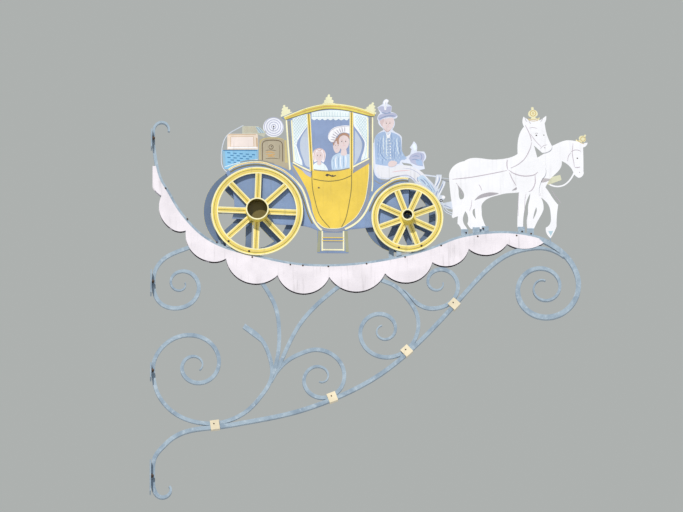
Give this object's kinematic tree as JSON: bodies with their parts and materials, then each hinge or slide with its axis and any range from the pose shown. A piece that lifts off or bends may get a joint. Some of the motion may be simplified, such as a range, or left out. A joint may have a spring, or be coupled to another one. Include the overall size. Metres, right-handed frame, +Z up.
{
  "type": "hanging inn sign with a cut-out stagecoach on a scrolled wall bracket",
  "caption": "Painted cut-out stagecoach and horses of sheet metal, standing on the curved rail of a scrolled iron wall bracket with a scalloped valance.",
  "frame": {"origin": "on the wall, in the middle of the four outer wall bolts, half way between the top and the bottom wall plates and on the sign's middle plane", "axes": "+X out from the wall along the sign, +Y from the near face to the far face, +Z up"},
  "size_m": [1.751, 0.112, 1.6839],
  "materials": {
    "ironwork": "weathered blue-grey paint on forged bar",
    "collar_gold": "pale gold paint",
    "valance_white": "chalky pinkish white paint",
    "coach_paint": "yellow lower body on a grey-blue ground",
    "finial_cream": "cream paint",
    "wheel_yellow": "yellow paint with cream edge lines",
    "horse_white": "white paint with thin grey lines",
    "crown_gold": "cream gold paint",
    "trunk_blue": "blue paint with a dark woven pattern",
    "trunk_brown": "brown paint with a darker frame",
    "case_cream": "cream pink paint",
    "case_olive": "olive paint",
    "hat_box_white": "white paint with grey rings",
    "coachman_paint": "blue coat and white breeches, painted",
    "board_grey": "light grey-blue paint",
    "pole_straw": "straw yellow paint"
  },
  "bodies": {
    "root": {"arm_foot": "ironwork", "arm_head": "ironwork", "arm_middle": "ironwork", "arm_scroll": "ironwork", "case_cream": "case_cream", "case_olive": "case_olive", "centre_scroll": "ironwork", "coach_plate": "coach_paint", "coachman": "coachman_paint", "collar_1": "collar_gold", "collar_2": "collar_gold", "collar_3": "collar_gold", "collar_4": "collar_gold", "crown_far": "crown_gold", "crown_near": "crown_gold", "footboard": "board_grey", "front_hub_far": "wheel_yellow", "front_hub_near": "wheel_yellow", "front_spacer_far": "wheel_yellow", "front_spacer_near": "wheel_yellow", "front_wheel_far": "wheel_yellow", "front_wheel_near": "wheel_yellow", "hat_box": "hat_box_white", "hoof_brackets_far": "ironwork", "hoof_brackets_near": "ironwork", "hoof_post": "ironwork", "horse_far": "horse_white", "horse_near": "horse_white", "left_stay": "ironwork", "luggage_rod": "board_grey", "pole_tip": "pole_straw", "rail_front": "ironwork", "rail_horn": "ironwork", "rail_rear": "ironwork", "rail_scroll": "ironwork", "rear_hub_far": "wheel_yellow", "rear_hub_near": "wheel_yellow", "rear_spacer_far": "wheel_yellow", "rear_spacer_near": "wheel_yellow", "rear_wheel_far": "wheel_yellow", "rear_wheel_near": "wheel_yellow", "rein_loop": "horse_white", "reins": "board_grey", "right_stay": "ironwork", "roof_finials": "finial_cream", "small_scroll": "ironwork", "trunk_blue": "trunk_blue", "trunk_brown": "trunk_brown", "valance_far": "valance_white", "valance_near": "valance_white", "wall_plate_bottom": "ironwork", "wall_plate_lower": "ironwork", "wall_plate_top": "ironwork", "wall_plate_upper": "ironwork", "wall_scroll_lower": "ironwork", "wall_scroll_upper": "ironwork", "wheel_lugs_far": "ironwork", "wheel_lugs_near": "ironwork"}
  },
  "joints": []
}
